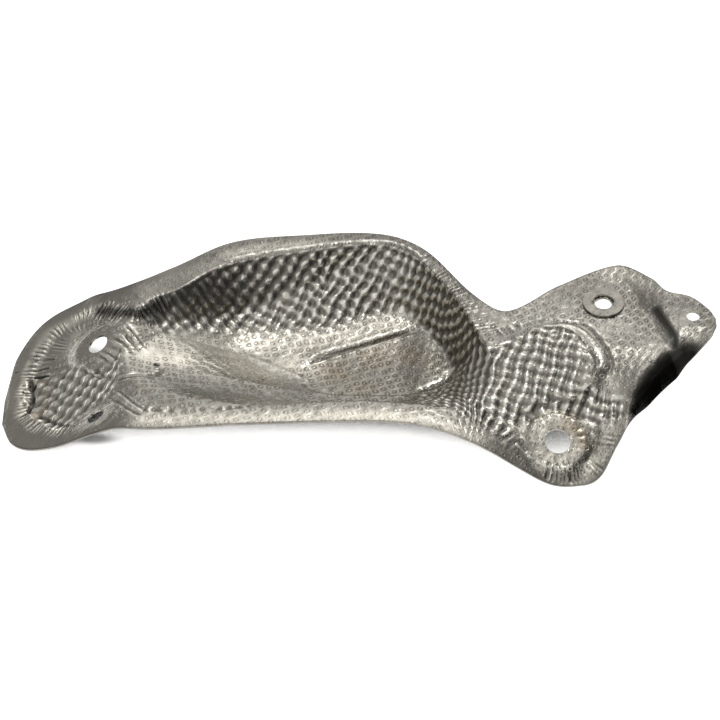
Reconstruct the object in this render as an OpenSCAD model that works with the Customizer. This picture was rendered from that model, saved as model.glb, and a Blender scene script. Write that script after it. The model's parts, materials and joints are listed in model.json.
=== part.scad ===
// Formed heat shield: one thin pressed sheet that lies with its hollow side up,
// and a flat washer that sits on the sheet round one of its fixing holes.
// X runs along the shield, Y from its front edge to its back edge, Z is up.

/* [Sheet] */
// Thickness of the sheet
sheet_t = 1; // [0.7:0.1:1.4]
// Length from the tip of the lobe to the tip of the ear
shield_length = 380; // [340:1:420]
// Depth from the front of the low corner to the back of the trough
shield_depth = 164; // [148:1:180]

/* [Levels above the ground] */
// Height of the flange round the trough
rim_level = 33; // [30:0.5:36]
// Height of the plate at the right end
plate_level = 32; // [29:0.5:35]
// Height of the bottom of the trough
floor_level = 2; // [1.7:0.1:4]
// Height of the tip of the lobe
tip_level = 2; // [1.7:0.1:5]
// Height of the low corner in front of the boss
corner_level = 6; // [4:0.5:10]

/* [Trough] */
// How much the floor climbs from its level part to the crest beside the lobe
floor_climb = 26; // [22:0.5:27.5]
// How much the floor rises towards the back wall, in mm at 50 mm from its middle
back_bow = 5; // [2:0.5:7]
// How much the floor rises towards the front wall, in mm at 50 mm from its middle
front_bow = 12; // [6:0.5:14]
// Depth of the pad that is sunk in the floor
pad_depth = 1.8; // [0.5:0.1:2.5]
// Width of the wall round the pad
pad_wall = 2.5; // [2:0.1:4]

/* [Lobe] */
// Depth of the dish in the lobe
dish_depth = 1.8; // [1:0.1:3]
// Width of the wall round the dish
dish_wall = 6; // [5:0.5:9]

/* [Plate and ear] */
// Height of the plateau on the plate
plateau_height = 3.2; // [1:0.1:4.5]
// Width of the wall round the plateau
plateau_wall = 8; // [6:0.5:12]
// Height of the boss round the big hole
boss_height = 3; // [1:0.1:4]
// How much higher the ear is than the plate
ear_step = 3; // [1:0.1:5]
// How far the edge in front of the ear is rolled down
roll_drop = 10; // [4:0.5:12]
// Width of the rolled edge
roll_width = 16; // [12:0.5:20]

/* [Holes] */
// Diameter of the hole under the washer
washer_hole_d = 9; // [7:0.1:10]
// Diameter of the hole in the ear
ear_hole_d = 7; // [5:0.1:8]
// Diameter of the big hole in the boss
boss_hole_d = 13.6; // [10:0.1:15]
// Diameter of the upper hole in the lobe
upper_hole_d = 11.6; // [9:0.1:13]
// Diameter of the lower hole in the lobe
lower_hole_d = 10; // [8:0.1:11]

/* [Washer] */
// Outer diameter of the washer
washer_d = 22.5; // [18:0.5:25]
// Bore of the washer
washer_bore_d = 11; // [10.2:0.1:13]
// Thickness of the washer
washer_t = 1.2; // [0.8:0.1:2]
// Bevel on the edges of the washer
washer_bevel = 0.2; // [0.1:0.05:0.3]

/* [Hidden] */

// The mesh of the sheet has this many stations along it and rows across it
stations = 94;
rows = 30;
// How much closer the stations lie at the two ends, from 0 to 1
end_crowding = 0.5;
// Each curve through points gets this many steps between two of them
curve_steps = 3;

// The two edges seen from above, as places along and across
back_edge = [
    [-190, -1], [-186, 30], [-172, 55], [-148, 61], [-127, 58], [-102, 71], [-71, 91],
    [-33, 97], [12, 98], [36, 85], [62, 49], [79, 38], [108, 58], [140, 73], [158, 61],
    [165, 51], [178, 46], [187, 36], [190, 29]
];
front_edge = [
    [-190, -18], [-184, -33], [-170, -42], [-128, -49], [-108, -51], [-60, -48], [8, -46],
    [36, -49], [67, -56], [98, -66], [113, -66], [125, -62], [134, -47], [146, -28],
    [169, -2], [186, 14], [190, 23]
];

// Where the flange bends down into the trough, and where its walls meet the floor
trough_rim = [
    [-127, 10], [-125, 36], [-113, 47], [-98, 54], [-79, 70], [-58, 79], [-30, 85],
    [0, 90], [16, 89], [27, 83], [36, 73], [46, 58], [54, 43], [60, 28], [66, 12], [70, -3],
    [67, -20], [57, -31], [40, -34], [0, -31], [-40, -34], [-75, -38], [-103, -39],
    [-119, -36], [-127, -18]
];
trough_foot = [
    [-117, 8], [-113, 22], [-98, 37], [-80, 46], [-60, 51], [-21, 53], [-8, 57],
    [10, 63], [23, 63], [34, 54], [42, 42], [48, 30], [49, 18], [43, 8], [32, 0],
    [16, -8], [-10, -11], [-60, -12], [-95, -16], [-110, -22], [-116, -8]
];
// Line along the trough where the bowed floor is lowest
floor_middle = 18;
// The bow of the floor is given at this distance from its middle
bow_at = 50;
// The floor starts to climb on a slanting line: its place on the floor's middle, how far
// it shifts for each mm towards the back, and how far across it slants
climb_start = -45;
climb_slant = 1.4;
climb_across = 15;
climb_end = -117;
climb_blend = 12;
// The floor stays under the flange, and bends level over this height where it reaches it
floor_top_bend = 2;
// Widths of the bends at the rim, at the foot and at the break, as shares of the wall
rim_bend = 0.1;
foot_bend = 0.15;
break_bend = 0.08;
// Where the back wall breaks from its steep upper face into its gentler lower one, as the
// share of the wall above the break at places along the shield
break_line = [
    [-130, 0.75], [-90, 0.7], [-60, 0.6], [-29, 0.36], [-8, 0.22], [7, 0.1], [20, 0], [80, 0]
];
upper_steepness = 1.1;
// The break fades out over this stretch across the trough
break_fade_from = 20;
break_fade_to = 35;

// Outlines of the pad, the plateau and the dish
pad_outline = [
    [-22, 32], [4, 43], [29, 53], [37, 46], [37, 25], [34, 5], [5, 3], [-24, 4], [-30, 12],
    [-29, 25]
];
plateau_outline = [
    [66, 4], [80, 14], [98, 23], [113, 20], [121, 6], [124, -8], [117, -18], [102, -24],
    [82, -24], [70, -14]
];
// Share of the pad's wall that lies outside its outline
pad_lip = 0.2;
// The pad sinks from the floor after one place along the shield and runs out into it before
// another, over these lengths
pad_start = -36;
pad_runin = 20;
pad_end = 38;
pad_runout = 18;
// The plateau grows out of the plate over this stretch along the shield
plateau_start = 72;
plateau_full = 102;
// How hollow the wall of the plateau is, 1 for a straight wall
plateau_hollow = 1.5;
dish_outline = [
    [-181, 1], [-179, 18], [-170, 42], [-160, 49], [-146, 49], [-132, 44], [-126, 28],
    [-127, 5], [-131, -20], [-146, -30], [-160, -31], [-174, -18]
];

// Level of the flange along the shield, before the forms are pressed into it
lobe_rise = rim_level - tip_level;
level_line = [
    [-190, tip_level], [-178, tip_level + 0.1 * lobe_rise],
    [-160, tip_level + 0.34 * lobe_rise], [-140, tip_level + 0.73 * lobe_rise],
    [-127, tip_level + 0.95 * lobe_rise], [-112, rim_level], [60, rim_level],
    [80, plate_level], [95, plate_level], [190, plate_level]
];
// Share of the fall to the low corner that the front edge has along the shield
fall_line = [
    [-190, 0], [24, 0], [36, 0.04], [51, 0.19], [67, 0.42], [83, 0.69], [98, 0.94],
    [112, 1], [122, 0.94], [133, 0.6], [145, 0.24], [156, 0.06], [168, 0], [190, 0]
];
// The fall starts at this place across, and starts this softly
fall_start = 12;
fall_softness = 0.15;

// Step to the ear: a point on it, the way it rises and its width
step_spot = [161.5, 25];
step_way = [0.95, 0.31];
step_width = 8;
// Behind this place across, the step grows wider by this much for each mm
step_fan_from = 35;
step_fan = 1;

// Rolled edge: its two ends along the shield, how long it takes to start and to end,
// and the slant of the edge there as the share of a step across that is square to it
roll_from = 145;
roll_to = 186;
roll_start = 17;
roll_end = 19;
roll_slant = 0.72;

// Places of the holes
washer_spot = [131, 44];
ear_spot = [178, 31];
boss_spot = [103, -45];
upper_spot = [-140, 20];
lower_spot = [-138, -34];

// Flat stretch of the plate outside the washer
washer_margin = 5.5;
washer_seat = (washer_d - washer_hole_d) / 2 + washer_margin;

// Each hole has a flat seat: place, hole diameter, width of the seat outside the hole,
// width of the blend outside the seat, lift, and extra lean across the shield
holes = [
    [washer_spot, washer_hole_d, washer_seat, 7, 0, 0],
    [ear_spot, ear_hole_d, 4.5, 4, 0, 0],
    [boss_spot, boss_hole_d, 7.2, 6, boss_height, 0],
    [upper_spot, upper_hole_d, 6, 6, 0, 0.03],
    [lower_spot, lower_hole_d, 4, 5, -1, -0.22]
];

back_reach = max([for (p = back_edge) p[1]]);
front_reach = min([for (p = front_edge) p[1]]);
tip_at = back_edge[0][0];
ear_at = back_edge[len(back_edge) - 1][0];
length_factor = shield_length / (ear_at - tip_at);
depth_factor = shield_depth / (back_reach - front_reach);

// Slight overlap of a cutter past what it cuts
cut_over = 3;

function smooth(t) = let(c = max(0, min(1, t))) c * c * (3 - 2 * c);
function lerp(a, b, t) = a + (b - a) * t;
// The larger of t and 0, and the smaller of a and b, with a bend of this half width
function above_zero(t, bend) = t < -bend ? 0 : t > bend ? t : (t + bend) * (t + bend) / (4 * bend);
function smaller(a, b, bend) = a - above_zero(a - b, bend);

// Value at x of the smooth line through the points, which run along x
function line_slope(points, i) =
    let(a = points[max(i - 1, 0)], b = points[min(i + 1, len(points) - 1)])
    (b[1] - a[1]) / (b[0] - a[0]);
function line_part(points, x) =
    min(len(points) - 2, max(0, len([for (p = points) if (p[0] <= x) 1]) - 1));
function along(points, x) =
    let(
        k = line_part(points, x),
        a = points[k],
        b = points[k + 1],
        h = b[0] - a[0],
        t = max(0, min(1, (x - a[0]) / h)),
        t2 = t * t,
        t3 = t2 * t
    )
    (2 * t3 - 3 * t2 + 1) * a[1] + (t3 - 2 * t2 + t) * h * line_slope(points, k)
    + (3 * t2 - 2 * t3) * b[1] + (t3 - t2) * h * line_slope(points, k + 1);

// Closed smooth curve through the points
function curve_point(p0, p1, p2, p3, t) =
    0.5 * (2 * p1 + (p2 - p0) * t + (2 * p0 - 5 * p1 + 4 * p2 - p3) * t * t
    + (3 * p1 - p0 - 3 * p2 + p3) * t * t * t);
function closed_curve(points) =
    let(n = len(points))
    [for (i = [0 : n - 1], j = [0 : curve_steps - 1])
        curve_point(points[(i + n - 1) % n], points[i], points[(i + 1) % n],
            points[(i + 2) % n], j / curve_steps)];

// Distance from the edge of a closed curve, positive inside it
function edge_distance(p, a, b) =
    let(e = b - a, t = max(0, min(1, (p - a) * e / (e * e))))
    norm(p - a - e * t);
function crosses(p, a, b) =
    (a[1] > p[1]) != (b[1] > p[1])
    && p[0] < a[0] + (p[1] - a[1]) * (b[0] - a[0]) / (b[1] - a[1]);
function depth_in(p, curve) =
    let(
        n = len(curve),
        d = min([for (i = [0 : n - 1]) edge_distance(p, curve[i], curve[(i + 1) % n])]),
        hits = len([for (i = [0 : n - 1]) if (crosses(p, curve[i], curve[(i + 1) % n])) 1])
    )
    hits % 2 == 1 ? d : -d;

rim_curve = closed_curve(trough_rim);
foot_curve = closed_curve(trough_foot);
pad_curve = closed_curve(pad_outline);
plateau_curve = closed_curve(plateau_outline);
dish_curve = closed_curve(dish_outline);

// A form reaches along the shield as far as its curve and the wall outside it
function reach(curve, wall) =
    [min([for (p = curve) p[0]]) - wall, max([for (p = curve) p[0]]) + wall];
function beside(p, ends) = p[0] < ends[0] || p[0] > ends[1];
rim_reach = reach(rim_curve, 5);
pad_reach = reach(pad_curve, pad_wall);
plateau_reach = reach(plateau_curve, plateau_wall);
dish_reach = reach(dish_curve, 0);

// The functions below take a place in the unstretched plan of the shield
function fall(p) =
    let(s = max(0, min(1, (fall_start - p[1]) / (fall_start - along(front_edge, p[0])))))
    along(fall_line, p[0]) * (plate_level - corner_level)
    * s * s / (s + fall_softness) * (1 + fall_softness);
function step_up(p) =
    let(width = step_width + step_fan * max(0, p[1] - step_fan_from))
    ear_step * smooth(0.5 + (p - step_spot) * step_way / width);
function roll(p) =
    let(
        d = (p[1] - along(front_edge, p[0])) * roll_slant,
        near = max(0, min(1, 1 - d / roll_width))
    )
    roll_drop * near * near * smooth(0.5 + (p[0] - roll_from) / roll_start)
    * smooth((roll_to - p[0]) / roll_end);
function base(p) = along(level_line, p[0]) + step_up(p) - fall(p) - roll(p);

function trough_floor(p) =
    let(
        across = p[1] - floor_middle,
        bow = (across > 0 ? back_bow : front_bow) * across * across / (bow_at * bow_at),
        start = climb_start - climb_slant * max(-climb_across, min(climb_across, across)),
        run = start - p[0]
    )
    floor_level + bow
    + floor_climb * (run + sqrt(run * run + climb_blend * climb_blend)) / 2 / (start - climb_end);

// 0 on the flange, 1 on the floor: the wall is straight between its bends
function trough_share(p) =
    let(
        out = depth_in(p, rim_curve),
        in = -depth_in(p, foot_curve),
        t = out / max(out + in, 1),
        broken = along(break_line, p[0])
            * smooth((p[1] - break_fade_from) / (break_fade_to - break_fade_from)),
        wall = smaller(t * (1 + upper_steepness * (1 - broken)),
            1 - (1 - t) * (1 - upper_steepness * broken), break_bend)
    )
    smaller(above_zero(wall, rim_bend), 1, foot_bend);
function trough(p, level) =
    beside(p, rim_reach) ? level
    : lerp(level, smaller(trough_floor(p), level, floor_top_bend), trough_share(p));
function pad(p) =
    beside(p, pad_reach) ? 0
    : pad_depth * smooth(pad_lip + depth_in(p, pad_curve) / pad_wall)
    * smooth((p[0] - pad_start) / pad_runin) * smooth((pad_end - p[0]) / pad_runout);
function plateau_near(p) = max(0, min(1, 1 + depth_in(p, plateau_curve) / plateau_wall));
function plateau(p) =
    beside(p, plateau_reach) ? 0
    : plateau_height * pow(plateau_near(p), plateau_hollow)
    * smooth((p[0] - plateau_start) / (plateau_full - plateau_start));
function dish(p) =
    beside(p, dish_reach) ? 0 : dish_depth * smooth(depth_in(p, dish_curve) / dish_wall);
function pressed(p) = trough(p, base(p)) - pad(p) + plateau(p) - dish(p);

// Tangent plane of the flange at a hole, as its level and its two slopes
probe = 0.5;
function seat(hole) =
    let(
        c = hole[0],
        dx = [probe, 0],
        dy = [0, probe]
    )
    [
        base(c) + hole[4],
        (base(c + dx) - base(c - dx)) / (2 * probe),
        (base(c + dy) - base(c - dy)) / (2 * probe) + hole[5]
    ];
seats = [for (h = holes) seat(h)];
function seat_level(i, p) =
    seats[i][0] + (p[0] - holes[i][0][0]) * seats[i][1] + (p[1] - holes[i][0][1]) * seats[i][2];
function seat_share(hole, p) =
    smooth(1 - (norm(p - hole[0]) - hole[1] / 2 - hole[2]) / hole[3]);
function seated(p, z, i) =
    i == len(holes) ? z
    : seated(p, lerp(z, seat_level(i, p), seat_share(holes[i], p)), i + 1);
function top_level(p) = seated(p, pressed(p), 0);

// A place of the plan stretched to the real length and depth
function stretched(p) = [p[0] * length_factor, p[1] * depth_factor];
function top_point(p) = concat(stretched(p), [top_level(p)]);

function station(i) =
    let(u = i / stations)
    lerp(tip_at, ear_at, lerp(u, (1 - cos(180 * u)) / 2, end_crowding));

top = [for (i = [0 : stations])
    let(x = station(i), front = along(front_edge, x), back = along(back_edge, x))
    [for (j = [0 : rows]) top_point([x, lerp(front, back, j / rows)])]];

function normal(i, j) =
    let(
        a = top[min(i + 1, stations)][j] - top[max(i - 1, 0)][j],
        b = top[i][min(j + 1, rows)] - top[i][max(j - 1, 0)],
        n = cross(a, b)
    )
    n / norm(n);

sheet_points = concat(
    [for (i = [0 : stations], j = [0 : rows]) top[i][j]],
    [for (i = [0 : stations], j = [0 : rows]) top[i][j] - sheet_t * normal(i, j)]
);

function top_at(i, j) = i * (rows + 1) + j;
function under_at(i, j) = (stations + 1) * (rows + 1) + top_at(i, j);
function two_triangles(a, b, c, d) = [[a, b, c], [a, c, d]];

// Each cell is split along the diagonal that is more level, so that walls stay even
function rises(i, j) =
    abs(top[i + 1][j + 1][2] - top[i][j][2]) > abs(top[i][j + 1][2] - top[i + 1][j][2]);
function cell(i, j, a, b, c, d) =
    rises(i, j) ? two_triangles(b, c, d, a) : two_triangles(a, b, c, d);

sheet_faces = concat(
    [for (i = [0 : stations - 1], j = [0 : rows - 1])
        each cell(i, j, top_at(i, j), top_at(i, j + 1), top_at(i + 1, j + 1), top_at(i + 1, j))],
    [for (i = [0 : stations - 1], j = [0 : rows - 1])
        each cell(i, j, under_at(i, j), under_at(i + 1, j), under_at(i + 1, j + 1),
            under_at(i, j + 1))],
    [for (i = [0 : stations - 1])
        each two_triangles(top_at(i, 0), top_at(i + 1, 0), under_at(i + 1, 0), under_at(i, 0))],
    [for (i = [0 : stations - 1])
        each two_triangles(top_at(i + 1, rows), top_at(i, rows), under_at(i, rows),
            under_at(i + 1, rows))],
    [for (j = [0 : rows - 1])
        each two_triangles(top_at(0, j + 1), top_at(0, j), under_at(0, j), under_at(0, j + 1))],
    [for (j = [0 : rows - 1])
        each two_triangles(top_at(stations, j), top_at(stations, j + 1),
            under_at(stations, j + 1), under_at(stations, j))]
);

// The origin lies under the middle of the sheet's box, on the ground
function middle_of(values) = (min(values) + max(values)) / 2;
sheet_middle = [
    middle_of([for (p = sheet_points) p[0]]), middle_of([for (p = sheet_points) p[1]])
];
lowest = min([for (p = sheet_points) p[2]]);
module set_down() {
    translate([-sheet_middle[0], -sheet_middle[1], -lowest])
        children();
}

// Stands the children on the seat of a hole, square to it
module on_seat(i) {
    c = stretched(holes[i][0]);
    way = [-seats[i][1] / length_factor, -seats[i][2] / depth_factor, 1];
    translate([c[0], c[1], seats[i][0]])
        rotate([0, acos(1 / norm(way)), atan2(way[1], way[0])])
            children();
}

module shield_sheet() {
    color([0.72, 0.71, 0.69])
        set_down()
            difference() {
                polyhedron(points = sheet_points, faces = sheet_faces, convexity = 8);
                for (i = [0 : len(holes) - 1])
                    on_seat(i)
                        translate([0, 0, -sheet_t - cut_over])
                            cylinder(d = holes[i][1], h = sheet_t + 2 * cut_over, $fn = 48);
            }
}

// Half section of the washer, with bevelled edges
washer_section = [
    [washer_bore_d / 2 + washer_bevel, 0], [washer_d / 2 - washer_bevel, 0],
    [washer_d / 2, washer_bevel], [washer_d / 2, washer_t - washer_bevel],
    [washer_d / 2 - washer_bevel, washer_t], [washer_bore_d / 2 + washer_bevel, washer_t],
    [washer_bore_d / 2, washer_t - washer_bevel], [washer_bore_d / 2, washer_bevel]
];

module captive_washer() {
    color([0.62, 0.62, 0.61])
        set_down()
            on_seat(0)
                rotate_extrude($fn = 72)
                    polygon(washer_section);
}

shield_sheet();
captive_washer();
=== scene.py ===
"""Dressed model of a formed heat shield: one embossed aluminium sheet and a steel washer.

The sheet is drawn again as a fine mesh over the CAD solid, so that its dimples, creases and
wrinkles are real shape. Plan sizes are in mm in the shield's own plan, as in the part's source.
"""

import json
import math

import bpy
import numpy as np
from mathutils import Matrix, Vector


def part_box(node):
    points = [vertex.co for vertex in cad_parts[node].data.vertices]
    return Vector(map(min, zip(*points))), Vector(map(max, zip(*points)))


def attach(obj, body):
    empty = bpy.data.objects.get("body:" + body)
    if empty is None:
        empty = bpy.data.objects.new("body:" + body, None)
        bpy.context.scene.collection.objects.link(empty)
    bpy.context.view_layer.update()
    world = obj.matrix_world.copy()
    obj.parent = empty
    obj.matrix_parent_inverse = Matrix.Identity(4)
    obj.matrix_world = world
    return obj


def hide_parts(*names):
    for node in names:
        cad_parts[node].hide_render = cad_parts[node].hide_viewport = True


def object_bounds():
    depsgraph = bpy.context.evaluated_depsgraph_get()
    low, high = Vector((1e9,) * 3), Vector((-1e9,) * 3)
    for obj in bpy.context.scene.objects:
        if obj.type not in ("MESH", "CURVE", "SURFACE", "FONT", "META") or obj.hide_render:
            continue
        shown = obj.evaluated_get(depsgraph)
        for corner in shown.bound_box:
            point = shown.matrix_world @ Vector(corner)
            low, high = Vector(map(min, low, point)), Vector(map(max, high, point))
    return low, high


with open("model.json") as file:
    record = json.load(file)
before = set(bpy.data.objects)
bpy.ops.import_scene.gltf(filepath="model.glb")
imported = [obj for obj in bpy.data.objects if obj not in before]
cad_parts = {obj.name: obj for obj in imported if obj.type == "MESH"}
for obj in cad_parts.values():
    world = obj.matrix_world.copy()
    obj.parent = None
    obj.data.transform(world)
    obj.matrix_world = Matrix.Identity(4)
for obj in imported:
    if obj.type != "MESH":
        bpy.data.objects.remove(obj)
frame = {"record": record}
cad_low, cad_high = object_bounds()

MM = 0.001
SHEET_T = 1.0
mounts = {m["name"]: m for m in frame["record"]["mounts"]}

# The form of the shield.
# The two edges seen from above, as places along and across
BACK_EDGE = [
    (-190, -1), (-186, 30), (-172, 55), (-148, 61), (-127, 58), (-102, 71), (-71, 91),
    (-33, 97), (12, 98), (36, 85), (62, 49), (79, 38), (108, 58), (140, 73), (158, 61),
    (165, 51), (178, 46), (187, 36), (190, 29),
]
FRONT_EDGE = [
    (-190, -18), (-184, -33), (-170, -42), (-128, -49), (-108, -51), (-60, -48), (8, -46),
    (36, -49), (67, -56), (98, -66), (113, -66), (125, -62), (134, -47), (146, -28),
    (169, -2), (186, 14), (190, 23),
]
TROUGH_RIM = [
    (-127, 10), (-125, 36), (-113, 47), (-98, 54), (-79, 70), (-58, 79), (-30, 85),
    (0, 90), (16, 89), (27, 83), (36, 73), (46, 58), (54, 43), (60, 28), (66, 12), (70, -3),
    (67, -20), (57, -31), (40, -34), (0, -31), (-40, -34), (-75, -38), (-103, -39),
    (-119, -36), (-127, -18),
]
TROUGH_FOOT = [
    (-117, 8), (-113, 22), (-98, 37), (-80, 46), (-60, 51), (-21, 53), (-8, 57),
    (10, 63), (23, 63), (34, 54), (42, 42), (48, 30), (49, 18), (43, 8), (32, 0),
    (16, -8), (-10, -11), (-60, -12), (-95, -16), (-110, -22), (-116, -8),
]
# Share of the back wall above its break, along the shield
BREAK_LINE = [
    (-130, 0.75), (-90, 0.7), (-60, 0.6), (-29, 0.36), (-8, 0.22), (7, 0.1), (20, 0), (80, 0),
]
UPPER_STEEPNESS, BREAK_FADE_FROM, BREAK_FADE_TO = 1.1, 20, 35
RIM_BEND, FOOT_BEND, BREAK_BEND, FLOOR_TOP_BEND = 0.1, 0.15, 0.08, 2
PAD = [
    (-22, 32), (4, 43), (29, 53), (37, 46), (37, 25), (34, 5), (5, 3), (-24, 4), (-30, 12),
    (-29, 25),
]
PLATEAU = [
    (66, 4), (80, 14), (98, 23), (113, 20), (121, 6), (124, -8), (117, -18), (102, -24),
    (82, -24), (70, -14),
]
DISH = [
    (-181, 1), (-179, 18), (-170, 42), (-160, 49), (-146, 49), (-132, 44), (-126, 28),
    (-127, 5), (-131, -20), (-146, -30), (-160, -31), (-174, -18),
]
RIM_LEVEL, PLATE_LEVEL, TIP_LEVEL, CORNER_LEVEL = 33, 32, 2, 6
LOBE_RISE = RIM_LEVEL - TIP_LEVEL
LEVEL_LINE = [
    (-190, TIP_LEVEL), (-178, TIP_LEVEL + 0.1 * LOBE_RISE), (-160, TIP_LEVEL + 0.34 * LOBE_RISE),
    (-140, TIP_LEVEL + 0.73 * LOBE_RISE), (-127, TIP_LEVEL + 0.95 * LOBE_RISE),
    (-112, RIM_LEVEL), (60, RIM_LEVEL), (80, PLATE_LEVEL), (95, PLATE_LEVEL), (190, PLATE_LEVEL),
]
FALL_LINE = [
    (-190, 0), (24, 0), (36, 0.04), (51, 0.19), (67, 0.42), (83, 0.69), (98, 0.94), (112, 1),
    (122, 0.94), (133, 0.6), (145, 0.24), (156, 0.06), (168, 0), (190, 0),
]
FALL_START, FALL_SOFTNESS = 12, 0.15
FLOOR_LEVEL, BACK_BOW, FRONT_BOW, FLOOR_MIDDLE, BOW_AT = 2, 5, 12, 18, 50
FLOOR_CLIMB, CLIMB_START, CLIMB_SLANT, CLIMB_ACROSS, CLIMB_END, CLIMB_BLEND = (
    26, -45, 1.4, 15, -117, 12)
PAD_DEPTH, PAD_WALL, PAD_LIP = 1.8, 2.5, 0.2
PAD_START, PAD_RUNIN, PAD_END, PAD_RUNOUT = -36, 20, 38, 18
DISH_DEPTH, DISH_WALL = 1.8, 6
PLATEAU_HEIGHT, PLATEAU_WALL, PLATEAU_HOLLOW = 3.2, 8, 1.5
PLATEAU_START, PLATEAU_FULL = 72, 102
STEP_HEIGHT, STEP_SPOT, STEP_WAY, STEP_WIDTH = 3, (161.5, 25), (0.95, 0.31), 8
STEP_FAN_FROM, STEP_FAN = 35, 1
ROLL_DROP, ROLL_WIDTH, ROLL_SLANT = 10, 16, 0.72
ROLL_FROM, ROLL_TO, ROLL_START, ROLL_END = 145, 186, 17, 19

# Radius of the washer's own bore
WASHER_BORE = 5.5
# Holes: mount, place in the plan, width of the flat seat outside the hole, width of its blend
HOLES = [
    ("washer_hole", (131, 44), 12.25, 7),
    ("ear_hole", (178, 31), 4.5, 4),
    ("boss_hole", (103, -45), 7.2, 6),
    ("upper_lobe_hole", (-140, 20), 6, 6),
    ("lower_lobe_hole", (-138, -34), 4, 5),
]
# The plan's origin in the frame follows from where the washer's hole is
washer_hole = mounts[HOLES[0][0]]["pos_m"]
PLAN_ORIGIN = Vector((
    washer_hole[0] / MM - HOLES[0][1][0],
    washer_hole[1] / MM - HOLES[0][1][1],
    washer_hole[2] / MM + SHEET_T / 2 - PLATE_LEVEL,
))


def smooth(t):
    """From 0 to 1 with soft ends."""
    c = np.clip(t, 0, 1)
    return c * c * (3 - 2 * c)


def fade_in(value, start, width):
    """0 up to the start, 1 from this width after it."""
    return smooth((value - start) / width)


def fade_out(value, end, width):
    """1 until this width before the end, 0 from the end on."""
    return smooth((end - value) / width)


def mix(a, b, t):
    return a + (b - a) * t


def along(points, x):
    """Value at x of the smooth line through the points, which run along x."""
    px, py = np.array(points, float).T
    slope = np.array([
        (py[min(i + 1, len(px) - 1)] - py[max(i - 1, 0)])
        / (px[min(i + 1, len(px) - 1)] - px[max(i - 1, 0)])
        for i in range(len(px))
    ])
    x = np.clip(x, px[0], px[-1])
    k = np.clip(np.searchsorted(px, x, side="right") - 1, 0, len(px) - 2)
    h = px[k + 1] - px[k]
    t = (x - px[k]) / h
    return (
        (2 * t**3 - 3 * t**2 + 1) * py[k] + (t**3 - 2 * t**2 + t) * h * slope[k]
        + (3 * t**2 - 2 * t**3) * py[k + 1] + (t**3 - t**2) * h * slope[k + 1]
    )


def curve_through(points, closed=True, steps=4):
    """Smooth curve through the points, as an array of places."""
    p = np.array(points, float)
    n = len(p)
    out = []
    for i in range(n if closed else n - 1):
        if closed:
            a, b, c, d = p[i - 1], p[i], p[(i + 1) % n], p[(i + 2) % n]
        else:
            a, b, c, d = p[max(i - 1, 0)], p[i], p[i + 1], p[min(i + 2, n - 1)]
        for t in np.arange(steps) / steps:
            out.append(0.5 * (
                2 * b + (c - a) * t + (2 * a - 5 * b + 4 * c - d) * t**2
                + (3 * b - a - 3 * c + d) * t**3
            ))
    if not closed:
        out.append(p[-1])
    return np.array(out)


def segment_distance(x, y, a, b):
    """Distance from the segment, and how far along it, from 0 to 1."""
    e = b - a
    t = np.clip(((x - a[0]) * e[0] + (y - a[1]) * e[1]) / (e @ e), 0, 1)
    return np.hypot(x - a[0] - e[0] * t, y - a[1] - e[1] * t), t


def depth_in(x, y, points):
    """Distance from the edge of a closed curve, positive inside it."""
    curve = curve_through(points, steps=3)
    best = np.full(x.shape, 1e9)
    inside = np.zeros(x.shape, bool)
    for a, b in zip(curve, np.roll(curve, -1, axis=0)):
        best = np.minimum(best, segment_distance(x, y, a, b)[0])
        if a[1] != b[1]:
            over = (a[1] > y) != (b[1] > y)
            inside ^= over & (x < a[0] + (y - a[1]) * (b[0] - a[0]) / (b[1] - a[1]))
    return np.where(inside, best, -best)


def line_distance(x, y, points):
    """Distance from an open curve, and how far along it, from 0 to 1."""
    curve = curve_through(points, closed=False)
    step = np.linalg.norm(np.diff(curve, axis=0), axis=1)
    start = np.concatenate([[0], np.cumsum(step)])
    best = np.full(x.shape, 1e9)
    where = np.zeros(x.shape)
    for k in range(len(step)):
        d, t = segment_distance(x, y, curve[k], curve[k + 1])
        near = d < best
        best = np.where(near, d, best)
        where = np.where(near, (start[k] + t * step[k]) / start[-1], where)
    return best, where


def above_zero(t, bend):
    """The larger of t and 0, with a bend of this half width."""
    return np.where(t < -bend, 0, np.where(t > bend, t, (t + bend)**2 / (4 * bend)))


def smaller(a, b, bend):
    """The smaller of the two, with a bend where they meet."""
    return a - above_zero(a - b, bend)


def trough_share(x, y):
    """0 on the flange, 1 on the floor of the trough."""
    out = depth_in(x, y, TROUGH_RIM)
    t = out / np.maximum(out - depth_in(x, y, TROUGH_FOOT), 1)
    broken = along(BREAK_LINE, x) * fade_in(y, BREAK_FADE_FROM, BREAK_FADE_TO - BREAK_FADE_FROM)
    wall = smaller(t * (1 + UPPER_STEEPNESS * (1 - broken)),
                   1 - (1 - t) * (1 - UPPER_STEEPNESS * broken), BREAK_BEND)
    return smaller(above_zero(wall, RIM_BEND), 1, FOOT_BEND)


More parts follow.
